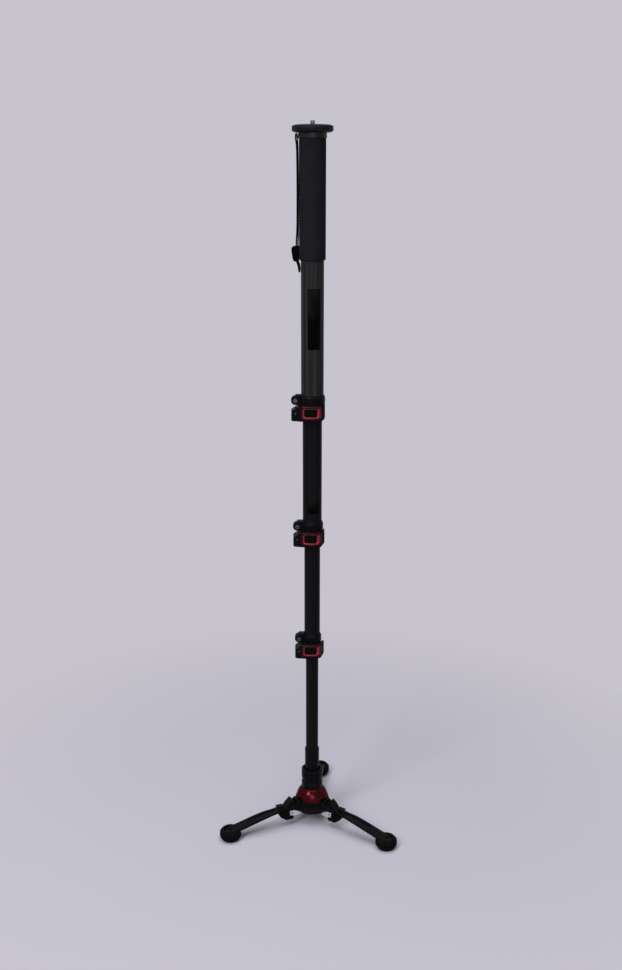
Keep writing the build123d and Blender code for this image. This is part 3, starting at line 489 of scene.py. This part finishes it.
def strap_webbing():
    """The strap's flat webbing, swept along its route in a plane across Y."""
    line = smooth_route([from_axis(x, 0, level) for x, level in STRAP_ROUTE])
    half, side = STRAP_THICKNESS / 2, STRAP_WIDTH / 2
    upper = [(side * across, half * rise) for across, rise in STRAP_FACE_SHARES]
    lower = [(y, -rise) for y, rise in reversed(upper)]
    section = [(-side, 0), *upper, (side, 0), *lower]
    mesh = bmesh.new()
    rings = []
    for count, place in enumerate(line):
        ahead = line[min(count + 1, len(line) - 1)] - line[max(count - 1, 0)]
        out = Vector((ahead.z, 0, -ahead.x)).normalized()
        rings.append([mesh.verts.new(place + Vector((0, y, 0)) + out * rise) for y, rise in section])
    capped(mesh, rings)
    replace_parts(piece("strap_webbing", mesh, STRAP, "pole_1"), "wrist_strap")


strap_webbing()

# The strap's slider in millimetres. Each point of its back is a level over the foot of its CAD solid and a
# distance from the pole's axis.
SLIDER_BACK = [(-0.1, 24.4), (0.4, 25.2), (1.7, 26.4), (4.5, 27.3), (12.5, 28.6), (17.5, 28.8), (19.3, 27.6),
               (20.1, 26.2), (20.4, 25.2)]
SLIDER_FRONT = 18.35
SLIDER_HALF_WIDTH = 7.8
SLIDER_CORNER = 1.6
SLOT_BACK = 23.5
SLOT_FRONT = 18.95
SLOT_HALF_WIDTH = 6.3
SLOT_CORNER = 0.4


def slider_moulding():
    """Moulded keeper of the strap: bulged at the back, with one slot for both plies."""
    mesh = bmesh.new()
    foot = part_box("strap_slider")[0][2] / MM

    def ring(rise, back, front, half_width, corner):
        outline = rounded_outline(-back, -front, -half_width, half_width, corner)
        return [mesh.verts.new(from_axis(x, y, foot + rise)) for x, y in outline]

    outside = [ring(rise, back, SLIDER_FRONT, SLIDER_HALF_WIDTH, SLIDER_CORNER) for rise, back in SLIDER_BACK]
    bottom, top = SLIDER_BACK[0][0], SLIDER_BACK[-1][0]
    slot = [ring(rise, SLOT_BACK, SLOT_FRONT, SLOT_HALF_WIDTH, SLOT_CORNER) for rise in (top, bottom)]
    looped(mesh, outside + slot)
    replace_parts(piece("slider_moulding", mesh, SLIDER, "pole_1"), "strap_slider")


slider_moulding()

# The platform's edges slope to the top and to the underside, where a lip stands round the neck:
# (millimetres in from the rim, millimetres down from the top face)
PLATFORM_EDGE = [(5.7, 0), (5.1, 0.1), (1.5, 1.0), (0.5, 1.5), (0, 2.4), (0, 7.4), (0.4, 8.2), (1.3, 8.9),
                 (4.1, 9.9), (7.3, 10.3), (8.2, 10.3)]
PLATFORM_HOLE_RADIUS = 3.3


def platform_disc():
    """The round platform that the camera stands on."""
    low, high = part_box("platform")
    radius = (high[0] - low[0]) / 2 / MM
    top, bottom = high[2] / MM, low[2] / MM
    edge = [(radius - inward, top - down) for inward, down in PLATFORM_EDGE]
    lip_radius = edge[-1][0]
    profile = [(PLATFORM_HOLE_RADIUS, top), *edge, (lip_radius, bottom), (PLATFORM_HOLE_RADIUS, bottom)]
    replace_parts(turned("platform_disc", profile, PLATFORM_BLACK, "pole_1"), "platform")


platform_disc()

# The rim of a lock lever: how far its ridge stands in from the outer edge, its round corners, the heights
# over the rim's seat, and the number of parts of each long level side
RIDGE_FROM_LEFT = 3.2 * MM
RIDGE_FROM_RIGHT = 2.7 * MM
RIDGE_FROM_TOP = 3.1 * MM
RIDGE_FROM_BOTTOM = 2.9 * MM
RIM_CORNER = 2.5 * MM
RIM_FLUSH = 1.3 * MM
RIM_RIDGE = 2.2 * MM
RIM_INNER = 0.7 * MM
RIM_SIDE_PARTS = 12
# The seat on the lever is the same at every level. It is looked for this far inside the rim's outer edge,
# and further below its top, where a corner of the lever is cut away.
SEAT_INSIDE = 0.1 * MM
SEAT_BELOW_TOP = 2.2 * MM


def split_sides(outline):
    """The same outline with its long level sides in parts, so that it can follow a curved front."""
    found = []
    for here, (x, z) in enumerate(outline):
        x2, z2 = outline[(here + 1) % len(outline)]
        parts = RIM_SIDE_PARTS if abs(x2 - x) > RIM_CORNER else 1
        found += [(x + (x2 - x) * part / parts, z + (z2 - z) * part / parts) for part in range(parts)]
    return found


def lever_rim(number):
    """The red rim of a lever: a bezel in painted shade slopes up to a ridge, and a lip in a brighter red of
    painted light slopes in to the pad.
    """
    name = f"lever_{number}"
    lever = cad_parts[name]
    low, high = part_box(f"{name}_rim")
    pad_low, pad_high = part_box(f"{name}_pad")
    outer = (low[0], high[0], low[2], high[2])
    ridge = (low[0] + RIDGE_FROM_LEFT, high[0] - RIDGE_FROM_RIGHT,
             low[2] + RIDGE_FROM_BOTTOM, high[2] - RIDGE_FROM_TOP)
    window = (pad_low[0], pad_high[0], pad_low[2], pad_high[2])

    def ring(mesh, bounds, height):
        found = []
        for x, z in split_sides(rounded_outline(*bounds, RIM_CORNER)):
            inside = min(max(x, low[0] + SEAT_INSIDE), high[0] - SEAT_INSIDE)
            level = min(max(z, low[2] + SEAT_INSIDE), high[2] - SEAT_BELOW_TOP)
            seat, out = lever.ray_cast(Vector((inside, -1, level)), Vector((0, 1, 0)))[1:3]
            found.append(mesh.verts.new(Vector((x, seat.y, z)) + out * height))
        return found

    def band(part, sections, finish):
        mesh = bmesh.new()
        looped(mesh, [ring(mesh, bounds, height) for bounds, height in sections])
        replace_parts(piece(f"{name}_{part}", mesh, finish, name), f"{name}_rim")

    # The bezel's darker red is painted shade, and the lip's brighter red is painted light
    band("bezel", [(outer, 0), (outer, RIM_FLUSH), (ridge, RIM_RIDGE), (ridge, 0)], SHADED_TRIM)
    band("lip", [(ridge, 0), (ridge, RIM_RIDGE), (window, RIM_INNER), (window, 0)], LIT_RED_TRIM)


for number in (1, 2, 3):
    lever_rim(number)

# The bare patches on the tubes: the tube, its body, how far round from the front the patch starts and ends in
# degrees, and its lower and upper level in millimetres
PATCHES = [("tube_1", "pole_1", -25, 42, 744.5, 828.3), ("tube_2", "pole_2", -27, 54, 505.8, 522.4)]
PATCH_SUNK = 0.02
PATCH_PROUD = 0.03


def label_patch(tube, body, start, end, bottom, top):
    """A bare black film laid on the front of a tube."""
    low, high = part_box(tube)
    radius = (high[0] - low[0]) / 2 / MM
    inner, outer = radius - PATCH_SUNK, radius + PATCH_PROUD
    section = ((inner, bottom), (inner, top), (outer, top), (outer, bottom))
    steps = 24
    mesh = bmesh.new()
    rings = []
    for step in range(steps + 1):
        turn = radians(start + (end - start) * step / steps)
        rings.append([mesh.verts.new(from_axis(out * sin(turn), -out * cos(turn), level))
                      for out, level in section])
    capped(mesh, rings)
    piece(f"{tube}_patch", mesh, LABEL, body)


for patch in PATCHES:
    label_patch(*patch)

# The camera screw's thread, with 20 turns to the inch, and its tapered tip
THREAD_PITCH = 1.27 * MM
THREAD_DEPTH = 0.65 * MM
TIP_LENGTH = 0.9 * MM
TIP_TAPER = 0.6 * MM


def camera_thread():
    """The quarter inch screw with its thread cut."""
    low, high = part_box("camera_stud")
    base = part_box("platform")[1][2]
    crest = (high[0] - low[0]) / 2
    sides, steps = 48, 60
    mesh = bmesh.new()
    rings = []
    for step in range(steps + 1):
        rise = (high[2] - base) * step / steps
        lead = min(1, (high[2] - base - rise) / TIP_LENGTH)
        ring = []
        for side in range(sides):
            turn = 2 * pi * side / sides
            saw = (rise / THREAD_PITCH - side / sides) % 1
            groove = abs(saw * 2 - 1)
            radius = crest - THREAD_DEPTH * groove * groove - (1 - lead) * TIP_TAPER
            x, y = POLE_X + radius * cos(turn), POLE_Y + radius * sin(turn)
            ring.append(mesh.verts.new((x, y, base + rise)))
        rings.append(ring)
    capped(mesh, rings)
    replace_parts(piece("camera_thread", mesh, BRIGHT_STEEL, "pole_1"), "camera_stud")


camera_thread()

# The floor is plain within its reach, and beyond that it fades into the backdrop
FLOOR_REACH = 0.30
FLOOR_FADE = 0.45
FLOOR_CORNERS = ((-6, -3), (6, -3), (6, 9), (-6, 9))


def studio_floor():
    """Matt near the monopod, where it keeps the shadow, and fading into the backdrop's own colour."""
    made = Finish("studio_floor", FLOOR, 0.9, specular=0.0)
    x, y = made.parts(made.place())[:2]
    away = ((x * x + y * y).power(0.5) - FLOOR_REACH) / FLOOR_FADE
    glow = made.node("ShaderNodeEmission", {}, {"Color": made.backdrop()})
    lit = Wire(made, made.shader.outputs[0])
    mixed = made.node("ShaderNodeMixShader", {}, {0: away.clamp(), 1: lit, 2: glow})
    made.feed(made.tree.nodes["Material Output"].inputs["Surface"], mixed)
    return made.material


def floor_sheet():
    """The sheet that the monopod stands on."""
    mesh = bmesh.new()
    mesh.faces.new([mesh.verts.new((x, y, 0)) for x, y in FLOOR_CORNERS])
    data = bpy.data.meshes.new("floor")
    mesh.to_mesh(data)
    mesh.free()
    made = bpy.data.objects.new("floor", data)
    bpy.context.collection.objects.link(made)
    data.materials.append(studio_floor())


floor_sheet()


def softbox(name, place, aim, width, height, power):
    """A soft lamp aimed at a place, with its size in metres and its power in watts."""
    data = bpy.data.lights.new(name, "AREA")
    data.shape = "RECTANGLE"
    data.size = width
    data.size_y = height
    data.energy = power
    made = bpy.data.objects.new(name, data)
    made.location = place
    made.rotation_euler = (Vector(aim) - Vector(place)).to_track_quat("-Z", "Y").to_euler()
    bpy.context.collection.objects.link(made)


softbox("key", (-1.6, -2.2, 2.5), (0, 0, 0.3), 1.2, 1.2, 45)
softbox("front", (0.2, -3.6, 1.7), (0, 0, 0.8), 2.0, 1.8, 32)
softbox("ceiling", (0, 0, 5.0), (0, 0, 0), 4.5, 4.5, 168)

world = bpy.data.worlds.new("studio")
bpy.context.scene.world = world
world.use_nodes = True
air = Nodes(world.node_tree, "Background")
air.put("Color", air.backdrop())
air.put("Strength", 1.0)

# The camera, fitted to the photograph
camera = bpy.data.objects.new("camera", bpy.data.cameras.new("camera"))
bpy.context.collection.objects.link(camera)
camera.data.sensor_fit = "VERTICAL"
camera.data.sensor_height = 36.0
camera.data.lens = 41.6
camera.location = (POLE_X - 0.0021, POLE_Y - 1.5621, 0.9863)
camera.rotation_euler = (radians(90 - 15.75), radians(-0.03), 0)
bpy.context.scene.camera = camera
bpy.context.scene.view_settings.view_transform = "Standard"
